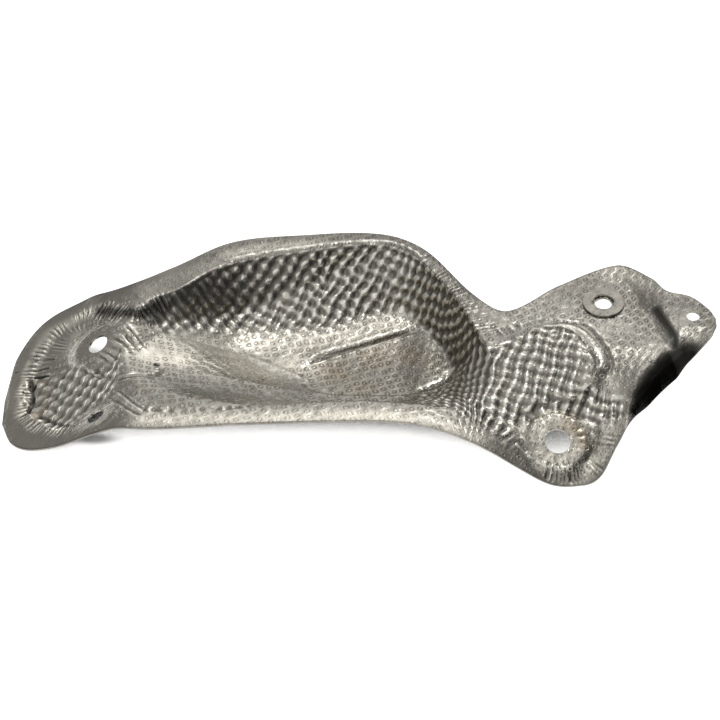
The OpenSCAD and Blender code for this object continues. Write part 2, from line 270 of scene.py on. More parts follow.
def pressed_level(x, y):
    """Top of the sheet as the part's source presses it."""
    level = along(LEVEL_LINE, x)
    past_step = (x - STEP_SPOT[0]) * STEP_WAY[0] + (y - STEP_SPOT[1]) * STEP_WAY[1]
    step_width = STEP_WIDTH + STEP_FAN * np.maximum(0, y - STEP_FAN_FROM)
    level = level + STEP_HEIGHT * smooth(0.5 + past_step / step_width)
    front = along(FRONT_EDGE, x)
    s = np.clip((FALL_START - y) / (FALL_START - front), 0, 1)
    level = level - along(FALL_LINE, x) * (PLATE_LEVEL - CORNER_LEVEL) * (
        s * s / (s + FALL_SOFTNESS) * (1 + FALL_SOFTNESS))
    near = np.clip(1 - (y - front) * ROLL_SLANT / ROLL_WIDTH, 0, 1)
    level = level - ROLL_DROP * near**2 * smooth(0.5 + (x - ROLL_FROM) / ROLL_START) * smooth(
        (ROLL_TO - x) / ROLL_END)
    across = y - FLOOR_MIDDLE
    start = CLIMB_START - CLIMB_SLANT * np.clip(across, -CLIMB_ACROSS, CLIMB_ACROSS)
    run = start - x
    climb = (run + np.sqrt(run**2 + CLIMB_BLEND**2)) / 2 / (start - CLIMB_END)
    bow = np.where(across > 0, BACK_BOW, FRONT_BOW) * (across / BOW_AT)**2
    floor = FLOOR_LEVEL + bow + FLOOR_CLIMB * climb
    level = mix(level, smaller(floor, level, FLOOR_TOP_BEND), trough_share(x, y))
    pad_share = smooth((x - PAD_START) / PAD_RUNIN) * smooth((PAD_END - x) / PAD_RUNOUT)
    level = level - PAD_DEPTH * smooth(PAD_LIP + depth_in(x, y, PAD) / PAD_WALL) * pad_share
    rise = np.clip(1 + depth_in(x, y, PLATEAU) / PLATEAU_WALL, 0, 1)
    level = level + PLATEAU_HEIGHT * rise**PLATEAU_HOLLOW * smooth(
        (x - PLATEAU_START) / (PLATEAU_FULL - PLATEAU_START))
    return level - DISH_DEPTH * smooth(depth_in(x, y, DISH) / DISH_WALL)


def hole_plane(name, x, y):
    """Top of the sheet on the flat seat of a hole."""
    m = mounts[name]
    n = Vector(m["axis"])
    top = Vector(m["pos_m"]) / MM + n * SHEET_T / 2 - PLAN_ORIGIN
    return top.z - ((x - top.x) * n.x + (y - top.y) * n.y) / n.z


def seat_share(hole, x, y):
    """1 on the flat seat of a hole, 0 outside its blend."""
    name, place, width, blend = hole
    r = np.hypot(x - place[0], y - place[1]) - mounts[name]["dims"]["r_mm"]
    return smooth(1 - (r - width) / blend)


def top_level(x, y):
    """Top of the sheet with the flat seats of its holes."""
    level = pressed_level(x, y)
    for hole in HOLES:
        level = mix(level, hole_plane(hole[0], x, y), seat_share(hole, x, y))
    return level


# Dimples.
# The embossed rows curve gently along the shield, round this far centre
ROW_CENTRE, ROW_RADIUS, PITCH = (261, 537), 581, 6.3
BOLD_HEIGHT, FLAT_HEIGHT = 0.7, 0.1
# Unevenness of the rows, as a share of the pitch, and how fast it changes along and across
WARP, WARP_ALONG, WARP_ACROSS = 0.11, (1.7, 0.9), (1.9, 0.7)
# From the first to the second of these places the rows turn into the plate's straight lattice
LATTICE_FROM, LATTICE_AT = 48, 68


def surface_run(grid):
    """Distances along and across the sheet, measured on its surface from its middle.

    On the plate the sideways part of a step along isn't counted, and all rows start level.
    """
    to_plate = fade_in(grid[:, :, 0], LATTICE_FROM, LATTICE_AT - LATTICE_FROM)
    step = np.diff(grid, axis=0)
    step[:, :, 1] *= 1 - to_plate[1:]
    step_u = np.linalg.norm(step, axis=2)
    step_v = np.linalg.norm(np.diff(grid[:, :, 1:], axis=1), axis=2)
    run_u = np.vstack([np.zeros(grid.shape[1]), np.cumsum(step_u, axis=0)])
    run_v = np.hstack([np.zeros((grid.shape[0], 1)), np.cumsum(step_v, axis=1)])
    middle = np.argmin(abs(grid[:, 0, 0]))
    run_u = run_u - run_u[middle]
    right = np.argmin(abs(grid[:, 0, 0] - LATTICE_AT))
    level_row = np.argmin(abs(grid[right, :, 1]))
    extra = run_u[right] - run_u[right, level_row]
    run_u = run_u - extra * to_plate
    row = np.argmin(abs(grid[:, :, 1] - FLOOR_MIDDLE), axis=1)
    run_v = run_v - run_v[np.arange(len(row)), row][:, None] + FLOOR_MIDDLE
    return run_u, run_v


def row_phases(grid):
    """How many dimples along and across from the start, at each point of the sheet."""
    run_u, run_v = surface_run(grid)
    dx, dy = run_u - ROW_CENTRE[0], ROW_CENTRE[1] - run_v
    a, b = ROW_RADIUS * np.arctan2(dx, dy) / PITCH, np.hypot(dx, dy) / PITCH
    return (a + WARP * np.sin(WARP_ALONG[0] * b + 2 * np.sin(WARP_ALONG[1] * a)),
            b + WARP * np.sin(WARP_ACROSS[0] * a + 2 * np.sin(WARP_ACROSS[1] * b)))


# Creases: places, height, half width in mm
CREASES = {
    "ramp": ([(-129, -14), (-118, -11), (-107, -7), (-104, 2)], -0.7, 1.3),
    "floor": ([(-66, 33), (-53, 27), (-41, 21), (-26, 13)], 0.6, 2.5),
    "pad top": ([(-28, 27), (-22, 32.5), (-8, 38), (8, 44), (22, 49.5), (31, 51.5)], -0.5, 1.3),
    "pad left": ([(-27, 29), (-30, 24), (-31, 16), (-29, 6)], -0.3, 1.3),
    "pad lip": ([(-28, 31), (-22, 36), (-8, 41), (8, 47.5), (22, 53)], 0.35, 1.8),
    "outer D": ([(104, 30), (112, 29), (120, 27), (126, 19), (131, 7), (133, -1), (129, -9)],
                -0.5, 1.2),
    "inner D": ([(99, 16), (106, 19), (114, 18), (121, 6), (125, 0), (124, -5), (120, -10)],
                -0.5, 1.0),
    "D band": ([(103, 24), (111, 24.5), (118, 21), (124, 12), (128, 1), (127, -7)], 1.0, 2.2),
    "boss groove": ([(124, -30), (124, -40), (122, -47), (118, -53), (110, -58)], -0.9, 1.6),
    "boss brow": ([(83, -31), (92, -27), (98, -24), (106, -21)], -0.5, 1.6),
    "boss edge": ([(79, -46), (87, -53), (96, -58), (104, -59.5), (112, -58)], 0.4, 1.4),
    "plate nick": ([(127, -30), (135, -31)], -0.7, 0.9),
    "corner V": ([(58, 14), (52, 21), (45, 14), (37, 9), (31, 8)], -0.9, 1.8),
    "ear groove": ([(157, 40), (160, 33), (162.5, 27), (165, 21), (167, 15), (166, 8)], -1.0, 2.6),
    "back ridge": ([(-78, 76), (-58, 82), (-30, 88), (0, 92.5), (17, 91.5), (29, 85), (38, 74)],
                   0.5, 1.4),
    "crest fold one": ([(-131, -24), (-122, -35), (-113, -42)], -0.4, 0.9),
    "crest fold two": ([(-128, -20), (-119, -31), (-110, -39)], -0.4, 0.8),
    "lobe crease one": ([(-177, 27), (-170, 27), (-164, 25)], -0.45, 1.2),
    "lobe crease two": ([(-177, 20), (-171, 20), (-167, 19.5)], -0.5, 0.8),
    "lobe crease three": ([(-176, 15), (-171, 14), (-166, 13.5)], -0.6, 0.8),
    "lobe tear": ([(-177, 14), (-176, 6), (-175, -4), (-177, -13)], -0.9, 1.3),
    "lobe front crease": ([(-172, -14), (-160, -25), (-151, -34)], -0.5, 1.2),
}
# Wrinkles across a line: places, pitch, height, half width in mm
WRINKLES = {
    "lobe ring": ([(-131, 47), (-145, 50), (-157, 49), (-167, 44), (-173, 34), (-178, 20),
                   (-180, 4), (-180, -12), (-172, -24), (-160, -32), (-148, -37)],
                  2.6, 1.0, 3.2),
    "lobe rays": ([(-136, 42), (-150, 43), (-160, 37), (-168, 24)], 2.2, 0.35, 7),
    "crest bars": ([(-118, 22), (-131, 10), (-143, 0)], 4.4, 1.7, 7),
    "crest rim": ([(-112, 42), (-120, 31), (-122, 18), (-121, 4)], 3.0, 0.35, 2.5),
    "ramp waves": ([(-121, 16), (-112, 8), (-104, 2), (-99, -6)], 2.2, 0.1, 9),
    "right wall": ([(30, 80), (44, 62), (55, 42), (64, 16)], 2.6, 0.35, 9),
    "corner fan": ([(94, -61), (104, -63), (113, -63), (120, -60), (126, -54), (129, -45),
                    (133, -36)], 2.4, 0.6, 4.5),
    "fold scallops": ([(56, -24), (67, -34), (79, -46)], 5.6, 0.9, 4.0),
    "plateau scallops": ([(72, 20), (84, 27), (97, 31), (108, 29)], 5.2, 0.6, 2.5),
    "dark wrinkles": ([(-144, 50), (-134, 43), (-126, 37), (-118, 36), (-111, 42), (-102, 49)],
                      2.4, 0.9, 4.5),
    "front rim": ([(-114, -36), (-100, -38), (-80, -37), (-55, -34)], 6.0, 0.7, 2),
    "boss rim": ([(92, -38), (98, -31), (108, -31), (115, -38), (116, -48), (109, -56),
                  (98, -57), (91, -50)], 4.2, 0.4, 2.2),
    "brow bumps": ([(77, -39), (85, -33), (91, -31), (97, -28), (106, -26)], 5.2, 0.8, 3),
}
# Marks on the sheet, stains and painted light and shade: places of a line, half width in mm,
# strength
# Painted highlights and sheen, partly also cleaner metal: bright stretches
CLEAN_AND_SHEEN = [
    ([(-112, -44), (-60, -44), (0, -42), (30, -44), (62, -51)], 5, 1.0),
    ([(-104, 24), (-70, 36), (-40, 42), (0, 47), (20, 56)], 9, 0.75),
    ([(-92, 22), (-72, 28), (-52, 32)], 6, 0.8),
    ([(-122, 12), (-100, 12), (-75, 16), (-50, 22), (-32, 26)], 12, 0.8),
    ([(-72, 84), (-45, 91), (-22, 92)], 5, 0.7),
    ([(92, -42), (98, -33), (109, -34), (114, -46), (104, -56), (94, -52)], 5, 0.9),
    ([(118, -56), (126, -50), (130, -40)], 5, 0.6),
    ([(132, -14), (138, -28), (134, -40)], 7, 0.3),
    ([(79, -38), (91, -31), (104, -27)], 3.5, 1.0),
    ([(138, 68), (144, 64), (149, 57)], 7, 0.5),
    ([(178, 12), (186, 18)], 5, 0.5),
    ([(-179, 27), (-181, 10), (-181, -3), (-180, -13)], 1.6, 0.8),
    ([(-175, 33), (-169, 45), (-157, 49), (-146, 50)], 3.5, 0.9),
    ([(-154, 37), (-155, 32), (-156, 26)], 4, 0.6),
]
# Painted shade on stretches that face away from the light and on bent-down strips, together with
# grime
GRIME_AND_SHADE = [
    ([(-100, -8), (-60, -4), (-20, -5), (20, -6), (40, 0)], 9, 0.5),
    ([(-97, 56), (-70, 66), (-45, 74), (-20, 80)], 8, 0.75),
    ([(36, 68), (46, 50), (56, 30), (60, 12)], 8, 0.8),
    ([(60, 42), (70, 30), (76, 20)], 6, 0.5),
    ([(-16, 18), (10, 24), (30, 28)], 16, 0.5),
    ([(112, 56), (135, 56), (152, 44)], 13, 0.5),
    ([(170, 40), (180, 36), (187, 24)], 12, 0.85),
    ([(-100, 66), (-71, 87), (-33, 93), (0, 94)], 5, 0.4),
    ([(-140, 57), (-122, 60), (-104, 69)], 6, 0.6),
    ([(60, -30), (75, -42), (88, -54)], 5, 0.8),
    ([(84, -31), (92, -27), (98, -24), (105, -21)], 3, 0.9),
    ([(73, -55), (84, -59), (95, -64), (104, -66)], 3.5, 0.5),
    ([(147, -20), (154, -9), (161, 0), (168, 6), (174, 9)], 8, 0.85),
    ([(30, -46), (62, -53), (90, -62), (112, -64)], 3, 0.5),
    ([(-118, 61), (-100, 70), (-70, 89), (-33, 95.5), (12, 96.5), (36, 84), (58, 53), (79, 40)],
     5.5, 0.85),
]
# Painted deep shade on the rolled-down corner, in the ear's groove and in creases and wrinkles, and
# a few specks of soot
SOOT_AND_SHADE = [
    ([(145, -28), (151, -19), (157, -10), (164, -2), (170, 3), (175, 6)], 5, 1.0),
    ([(147, -20), (154, -10), (161, -1), (167, 5), (175, 8.5)], 5, 0.9),
    ([(158, 38), (160, 33), (162.5, 27), (165, 21), (167, 15), (166.5, 9)], 2.3, 0.8),
    ([(-141, 48), (-134, 42), (-128, 38), (-121, 35), (-115, 39), (-109, 43), (-104, 48)],
     2.8, 0.8),
    ([(-125, 37), (-119, 36), (-113, 40), (-107, 45)], 3.5, 0.9),
    ([(-176, 27), (-170, 27), (-165, 25)], 1.2, 0.25),
    ([(-175, 20), (-171, 20), (-168, 20)], 0.8, 0.5),
    ([(-174, 15), (-169, 14)], 1.1, 0.85),
    ([(-177, 14), (-176, 6), (-175, -4), (-177, -13)], 1.3, 0.65),
    ([(-170, -16), (-160, -25), (-153, -33)], 1.2, 0.45),
    ([(-108.4, 2), (-107.4, 2)], 1.2, 1.0),
    ([(-52.3, 9), (-51.9, 9)], 0.7, 0.9),
]
RUSTY = [
    ([(108, -34), (114, -39), (116, -46)], 4, 1.0),
    ([(-8, 20), (10, 30), (28, 34)], 16, 0.45),
    ([(150, 45), (156, 30)], 6, 0.35),
    ([(-180, 14), (-168, 4), (-172, -16)], 6, 0.35),
]
# Dull white stretches
MATTE = [
    ([(-97, 33), (-82, 31), (-60, 27), (-44, 19), (-32, 6)], 9, 1.0),
    ([(-102, -12), (-60, -12), (-30, -10)], 7, 0.85),
]
# Stretches where the dimples are faint
FAINT = [
    ([(-104, 50), (-82, 60), (-60, 68), (-38, 75)], 9, 0.62),
    ([(78, -44), (90, -54)], 9, 1.0),
]
# Smooth stretches, where the dimples are ironed out
IRONED = [
    ([(-146, 60), (-166, 53), (-181, 32), (-187, 4), (-184, -24), (-168, -38), (-146, -45)],
     10, 1.0),
    ([(-140, 55), (-122, 58), (-106, 66), (-92, 76)], 6, 1.0),
    ([(-144, 22), (-136, 18)], 13, 1.0),
    ([(-140, -36), (-134, -38)], 10, 1.0),
    ([(45, -50), (68, -57), (96, -65), (113, -65)], 4, 1.0),
    ([(147, -20), (153, -10), (161, -2), (168, 4), (176, 8)], 11, 1.0),
    ([(156, 42), (159, 34), (162, 26), (166, 16), (169, 8)], 4, 0.8),
    ([(-150, 42), (-160, 36), (-167, 24)], 9, 0.9),
    ([(-104, 50), (-82, 60), (-60, 68), (-38, 75)], 10, 0.9),
]
MARKS = {"clean_and_sheen": CLEAN_AND_SHEEN, "grime_and_shade": GRIME_AND_SHADE, "soot_and_shade": SOOT_AND_SHADE, "rusty": RUSTY, "matte": MATTE,
         "faint": FAINT, "ironed": IRONED}
# Where a fade starts or ends, and how wide it is: soot and painted shade in half widths, the
# painted edge shade in mm from the edge
SOOT_SHADE_FADE, EDGE_SHADE_FADE, EDGE_SHADE = (1.8, 1.5), (1.5, 1), 0.8


def edge_distance(x, y):
    """How far each point lies inside the sheet's edge, along x or y."""
    side = np.minimum(y - along(FRONT_EDGE, x), along(BACK_EDGE, x) - y)
    return np.minimum(side, np.minimum(x - BACK_EDGE[0][0], BACK_EDGE[-1][0] - x))


def marks(x, y):
    """Strength of every kind of mark at each point of the sheet."""
    out = {}
    for name, lines in MARKS.items():
        out[name] = np.zeros(x.shape)
        for places, width, strength in lines:
            d = line_distance(x, y, places)[0] / width
            soft = fade_out(d, *SOOT_SHADE_FADE) if name == "soot_and_shade" else np.exp(-d**2)
            out[name] = np.maximum(out[name], strength * soft)
    # Painted shade along the sheet's edge
    along_edge = EDGE_SHADE * fade_out(edge_distance(x, y), *EDGE_SHADE_FADE)
    out["grime_and_shade"] = np.maximum(out["grime_and_shade"], along_edge)
    return out


# Limits of the stretches where the dimples stand out: where each fade is, and how wide.
# The first two are shares of the trough's wall, the others mm
WALL_RIM, WALL_FOOT = (0.02, 0.08), (1, 0.06)
WALL_LEFT, WALL_BEHIND, WALL_BESIDE = (-116, 14), (-2, 14), (22, 16)
PLATE_LEFT, PLATEAU_EDGE, PLATEAU_RIGHT = (60, 10), (-1.5, 3), (124, 16)
DISH_EDGE, DISH_BACK = (-2, 4), (17, 10)
BOSS, BOSS_REACH, BOSS_FRONT = (103, -45), (35, 8), (-35, 6)
BROW, LINE_REACH, FOLD_RIGHT = [(108, -22), (121, -21), (132, -27)], (9, 6), (82, 10)
NECK, NECK_STRETCH, NECK_REACH = (76, -18), 1.2, (32, 10)
EAR_LEFT = (146, 6)


def boldness(x, y, faint):
    """1 where the dimples stand out, 0 where the tool pressed them flat."""
    share = trough_share(x, y)
    wall = (fade_in(share, *WALL_RIM) * fade_out(share, *WALL_FOOT) * fade_in(x, *WALL_LEFT)
            * np.maximum(fade_in(y, *WALL_BEHIND), fade_in(x, *WALL_BESIDE)))
    plateau = (fade_in(depth_in(x, y, PLATEAU), *PLATEAU_EDGE) * fade_in(x, *PLATE_LEFT)
               * fade_out(x, *PLATEAU_RIGHT))
    dish = fade_in(depth_in(x, y, DISH), *DISH_EDGE) * fade_out(y, *DISH_BACK)
    boss = (fade_out(np.hypot(x - BOSS[0], y - BOSS[1]), *BOSS_REACH) * fade_in(x, *PLATE_LEFT)
            * fade_in(y, *BOSS_FRONT))
    fold = (fade_out(line_distance(x, y, WRINKLES["fold scallops"][0])[0], *LINE_REACH)
            * fade_out(x, *FOLD_RIGHT))
    brow = fade_out(line_distance(x, y, BROW)[0], *LINE_REACH)
    neck = fade_out(np.hypot((x - NECK[0]) / NECK_STRETCH, y - NECK[1]), *NECK_REACH)
    bold = np.maximum.reduce([wall, plateau, dish, boss, fold, neck, brow])
    bold = bold * fade_out(x, *EAR_LEFT) * (1 - faint)
    for hole in HOLES:
        bold = bold * (1 - seat_share(hole, x, y))
    return bold


# Share of a line over which its form fades out at each end
CREASE_ENDS, WRINKLE_ENDS = 0.1, 0.06
# Unevenness of the wrinkles' spacing and height: how much, and how fast it changes
SPACING_SWAYS, HEIGHT_MEAN, HEIGHT_SWAY = [(1.3, 0.23), (0.7, 0.41)], 0.65, (0.35, 0.17)


def fades(where, share):
    """Fades a line's form out at its two ends."""
    return smooth(where / share) * smooth((1 - where) / share)


def sway(turn, amount, speed):
    """A slow swing that makes a wrinkle uneven."""
    return amount * np.sin(turn * speed)


def creases(x, y):
    """Height of all creases and wrinkles."""
    level = np.zeros(x.shape)
    for places, height, width in CREASES.values():
        d, where = line_distance(x, y, places)
        level += height * np.exp(-(d / width)**2) * fades(where, CREASE_ENDS)
    for places, pitch, height, width in WRINKLES.values():
        d, where = line_distance(x, y, places)
        length = np.linalg.norm(np.diff(np.array(places, float), axis=0), axis=1).sum()
        turn = 2 * math.pi * where * length / pitch
        wave = np.cos(turn + sum(sway(turn, *one) for one in SPACING_SWAYS))
        high = height * (HEIGHT_MEAN + sway(turn, *HEIGHT_SWAY))
        level += high / 2 * (wave - 1) * np.exp(-(d / width)**2) * fades(where, WRINKLE_ENDS)
    return level


# The skin's mesh: cells along and across, how much finer they are at the two ends, how many
# cells of the top one cell underneath spans, and how many pieces it makes
STATIONS, ROWS, CROWDING = 840, 320, 0.3
UNDER_STEP, PIECES = 4, 3
# The skin stays this far inside the part's box, in metres
TRIM = 0.00001
# Its underside stays this many mm above the floor
FLOOR_GAP = 0.02
# Where the relief fades in from the sheet's edge, and over how many mm
EDGE_RELIEF = (0.5, 3)
# The relief is compared with what is this many cells away, and this many mm count in full
BESIDE, FULL_RELIEF = 4, 0.35


def plan_grid(stations, rows):
    """Places of the mesh's points seen from above."""
    u = np.arange(stations + 1) / stations
    tip, ear = BACK_EDGE[0][0], BACK_EDGE[-1][0]
    x = mix(tip, ear, mix(u, (1 - np.cos(math.pi * u)) / 2, CROWDING))
    front, back = along(FRONT_EDGE, x), along(BACK_EDGE, x)
    y = mix(front[:, None], back[:, None], np.arange(rows + 1)[None] / rows)
    return np.broadcast_to(x[:, None], y.shape).copy(), y


def grid_normals(grid):
    """Unit normals of the surface at the points of its grid."""
    n = np.cross(np.gradient(grid, axis=0), np.gradient(grid, axis=1))
    return n / np.linalg.norm(n, axis=2, keepdims=True)


def embossed(x, y, phases, bold, ironed):
    """How far each point of the sheet is raised by its dimples, creases and wrinkles."""
    a, b = phases
    wave = (np.cos(2 * math.pi * a) + np.cos(2 * math.pi * b)) / 2
    depth = mix(FLAT_HEIGHT * (1 - ironed), BOLD_HEIGHT, bold) * (wave - 1) + creases(x, y)
    return depth * fade_in(edge_distance(x, y), *EDGE_RELIEF)


def raised(relief):
    """From -1 in the grooves to 1 on the tips of the relief."""
    wide = np.pad(relief, BESIDE, mode="edge")
    m, n = relief.shape
    k = BESIDE
    beside = (wide[:m, k:k + n] + wide[2 * k:, k:k + n] + wide[k:k + m, :n] + wide[k:k + m, 2 * k:])
    return np.clip((relief - beside / 4) / FULL_RELIEF, -1, 1)


x, y = plan_grid(STATIONS, ROWS)
smooth_top = np.stack([x, y, top_level(x, y)], axis=2)
phases = row_phases(smooth_top)
# The marks: real stains, and painted highlight and shade
stains_and_shade = marks(x, y)
bold = boldness(x, y, stains_and_shade.pop("faint"))
relief = embossed(x, y, phases, bold, stains_and_shade["ironed"])
top = smooth_top + grid_normals(smooth_top) * relief[:, :, None]
under = (top - grid_normals(top) * SHEET_T)[::UNDER_STEP, ::UNDER_STEP]
under[:, :, 2] = np.maximum(under[:, :, 2], -PLAN_ORIGIN.z + FLOOR_GAP)


def cut_hole(grid, name, keep):
    """Moves the points just inside a hole onto its wall and drops the cells inside it.

    Returns these points in their order round the hole, and the angle of each.
    """
    m = mounts[name]
    radius = m["dims"]["r_mm"]
    n = np.array(m["axis"])
    centre = np.array(m["pos_m"]) / MM - np.array(PLAN_ORIGIN)
    away = grid - centre
    away = away - (away @ n)[:, :, None] * n
    r = np.linalg.norm(away, axis=2)
    inside = r < radius
    keep &= ~(inside[:-1, :-1] & inside[1:, :-1] & inside[:-1, 1:] & inside[1:, 1:])
    used = np.zeros(inside.shape, bool)
    for i, j in ((0, 0), (1, 0), (0, 1), (1, 1)):
        used[i:i + keep.shape[0], j:j + keep.shape[1]] |= keep
    edge = inside & used
    grid[edge] += (radius / r[edge] - 1)[:, None] * away[edge]
    side = np.cross(n, (1, 0, 0))
    turn = np.arctan2(away @ side, away @ np.cross(side, n)).ravel()
    ids = np.flatnonzero(edge.ravel())
    return ids[np.argsort(turn[ids])], np.sort(turn[ids])


def zip_loops(a, turn_a, b, turn_b, flip):
    """Triangles between two rings of points that are sorted by their turn."""
    # The step that closes a ring comes after all others
    turn_a, turn_b = np.append(turn_a, turn_a[-1] + 1), np.append(turn_b, turn_b[-1] + 1)
    faces = []
    i = j = 0
    while i < len(a) or j < len(b):
        if j >= len(b) or (i < len(a) and turn_a[i + 1] <= turn_b[j + 1]):
            face = (a[i % len(a)], a[(i + 1) % len(a)], b[j % len(b)])
            i += 1
        else:
            face = (a[i % len(a)], b[(j + 1) % len(b)], b[j % len(b)])
            j += 1
        faces.append(face[::-1] if flip else face)
    return faces


def cells(keep, base, flip):
    """Quads of a grid of points, where they are kept."""
    rows = keep.shape[1] + 1
    i, j = np.nonzero(keep)
    a = base + i * rows + j
    quads = np.stack([a, a + rows, a + rows + 1, a + 1], axis=1)
    return quads[:, ::-1] if flip else quads


def border(shape, base):
    """Ring of the outer points of a grid, and how far round each one is, from 0 to 4."""
    n, m = shape
    ids = np.arange(n * m).reshape(n, m) + base
    ring = np.concatenate([ids[:-1, 0], ids[-1, :-1], ids[:0:-1, -1], ids[0, :0:-1]])
    long_side, short_side = np.arange(n - 1) / (n - 1), np.arange(m - 1) / (m - 1)
    turn = np.concatenate([long_side, 1 + short_side, 2 + long_side, 3 + short_side])
    return ring, turn


def stretch(keep, k):
    """The kept cells in one of the stretches along the shield."""
    out = np.zeros(keep.shape, bool)
    part = slice(len(keep) * k // PIECES, len(keep) * (k + 1) // PIECES)
    out[part] = keep[part]
    return out


keep_top = np.ones((top.shape[0] - 1, top.shape[1] - 1), bool)
keep_under = np.ones((under.shape[0] - 1, under.shape[1] - 1), bool)
base_under = top.shape[0] * top.shape[1]
walls = []
for hole in HOLES:
    ring_top, turn_top = cut_hole(top, hole[0], keep_top)
    ring_under, turn_under = cut_hole(under, hole[0], keep_under)
    walls += zip_loops(ring_top, turn_top, ring_under + base_under, turn_under, False)
ring_top, turn_top = border(top.shape[:2], 0)
ring_under, turn_under = border(under.shape[:2], base_under)
walls += zip_loops(ring_top, turn_top, ring_under, turn_under, True)
walls = np.array([t for t in walls if len(set(t)) == 3])

points = np.concatenate([top.reshape(-1, 3), under.reshape(-1, 3)])
points = (points + np.array(PLAN_ORIGIN)) * MM
points = np.clip(points, np.array(cad_low) + TRIM, np.array(cad_high) - TRIM)
normals = np.concatenate([grid_normals(top).reshape(-1, 3), -grid_normals(under).reshape(-1, 3)])
shades = {"phase_a": phases[0], "phase_b": phases[1], "bold": bold, "raised": raised(relief),
          **stains_and_shade}


def new_piece(name, faces):
    """A piece of the skin from some faces of the whole one."""
    used, local = np.unique(faces, return_inverse=True)
    local = local.reshape(faces.shape)
    mesh = bpy.data.meshes.new(name)
    mesh.from_pydata(points[used].tolist(), [], local.tolist())
    mesh.shade_smooth()
    for key, values in shades.items():
        both = np.concatenate([values.ravel(), values[::UNDER_STEP, ::UNDER_STEP].ravel()])
        mesh.attributes.new(key, "FLOAT", "POINT").data.foreach_set(
            "value", both[used].astype(np.float32))
    if faces.shape[1] == 4:
        mesh.normals_split_custom_set_from_vertices(normals[used].tolist())
    piece = bpy.data.objects.new(name, mesh)
    bpy.context.collection.objects.link(piece)
    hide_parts("shield_sheet")
    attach(piece, "root")
    return piece


skins = [new_piece("skin_edges", walls)]
for k in range(PIECES):
    skins.append(new_piece("skin_%d" % (k + 1), np.concatenate([
        cells(stretch(keep_top, k), 0, False), cells(stretch(keep_under, k), base_under, True)])))


# Materials.
class Nodes:
    """Shorthand for building a node tree."""

    def __init__(self, tree):
        self.tree = tree
        tree.nodes.clear()

    def add(self, kind, **settings):
        node = self.tree.nodes.new(kind)
        for key, value in settings.items():
            setattr(node, key, value)
        return node

    def link(self, source, target):
        self.tree.links.new(source, target)

    def set(self, socket, value):
        if hasattr(value, "is_output"):
            self.link(value, socket)
        else:
            socket.default_value = value

    def set_all(self, node, values):
        for key, value in values.items():
            self.set(node.inputs[key], value)

    def math(self, operation, a, b=0.0, c=0.0):
        node = self.add("ShaderNodeMath", operation=operation)
        for socket, value in zip(node.inputs, (a, b, c)):
            self.set(socket, value)
        return node.outputs[0]

    def vector(self, operation, a, b=(0, 0, 0), out="Vector"):
        node = self.add("ShaderNodeVectorMath", operation=operation)
        self.link(a, node.inputs[0])
        node.inputs[1].default_value = b
        return node.outputs[out]

    def noise(self, coords, scale, detail, rough):
        node = self.add("ShaderNodeTexNoise")
        self.set_all(node, {"Vector": coords, "Scale": scale, "Detail": detail, "Roughness": rough})
        return node.outputs["Fac"]

    def ramp(self, value, low, high, to_low=0.0, to_high=1.0):
        node = self.add("ShaderNodeMapRange", interpolation_type="SMOOTHSTEP")
        self.set_all(node, {"Value": value, "From Min": low, "From Max": high,
                            "To Min": to_low, "To Max": to_high})
        return node.outputs["Result"]

    def colours(self, factor, a, b):
        node = self.add("ShaderNodeMix", data_type="RGBA")
        self.set(node.inputs["Factor"], factor)
        self.set(node.inputs[6], a if hasattr(a, "is_output") else (*a, 1))
        self.set(node.inputs[7], b if hasattr(b, "is_output") else (*b, 1))
        return node.outputs[2]

    def layers(self, colour, layers):
        """Lays colours over the first one, each by its share."""
        for share, over in layers:
            colour = self.colours(share, colour, over)
        return colour

    def value(self, name):
        return self.add("ShaderNodeAttribute", attribute_name=name).outputs["Fac"]

    def place(self, kind="Object"):
        return self.add("ShaderNodeTexCoord").outputs[kind]

    def metal(self, colour, metallic, roughness, height, strength):
        """Ends the tree in a metal with a bump of this height in metres."""
        bump = self.add("ShaderNodeBump")
        self.set_all(bump, {"Strength": strength, "Distance": 1.0, "Height": height})
        body = self.add("ShaderNodeBsdfPrincipled")
        self.set_all(body, {"Metallic": metallic, "Base Color": colour, "Roughness": roughness,
                            "Normal": bump.outputs["Normal"]})
        self.link(body.outputs[0], self.add("ShaderNodeOutputMaterial").inputs[0])


def new_material(name):
    material = bpy.data.materials.new(name)
    material.use_nodes = True
    return material, Nodes(material.node_tree)


# Noises: scale, detail, roughness
WEAR, GRAIN, CRINKLE = (70, 3.0, 0.6), (600, 3.0, 0.6), (1.7, 2.0, 0.5)
PATCHES, CLOUDS, UNEVEN, SPECKS = (38, 4.0, 0.6), (170, 5.0, 0.65), (55, 4.0, 0.6), (420, 2.0, 0.5)
STEEL_PATCHES, STEEL_SPOTS, STEEL_GRAIN = (260, 4.0, 0.65), (700, 3.0, 0.6), (1200, 3.0, 0.6)
# Heights of bumps in metres
RING_HEIGHT, CLEAN_SHEEN_RING_CHANGE, GRAIN_HEIGHT, CRINKLE_HEIGHT = 0.00045, -0.00016, 0.00012, 0.0003
STEEL_GRAIN_HEIGHT, TURNING_HEIGHT = 0.00012, 0.00008
# Strengths of the bumps, the scale of the washer's turning marks, the slant of the fine wrinkles
SHEET_BUMP, STEEL_BUMP, TURNING_SCALE, SLANT = 0.9, 0.8, 4000, (0.5, 0.3)
# Flat rings round the dimples: ramps of their inner and outer sides, and of their wear
RING_INNER, RING_OUTER, RING_WEAR = (0.45, 0.66), (0.74, 0.92), (0.3, 0.6)
# Colours, in linear light
BARE, PALE, CLEAN_SHEEN_TONE = (0.38, 0.36, 0.32), (0.47, 0.45, 0.40), (1.0, 0.95, 0.82)
GRIME_SHADE_TONE, RUST, SOOT_SHADE_TONE = (0.22, 0.21, 0.19), (0.36, 0.25, 0.13), (0.02, 0.019, 0.017)
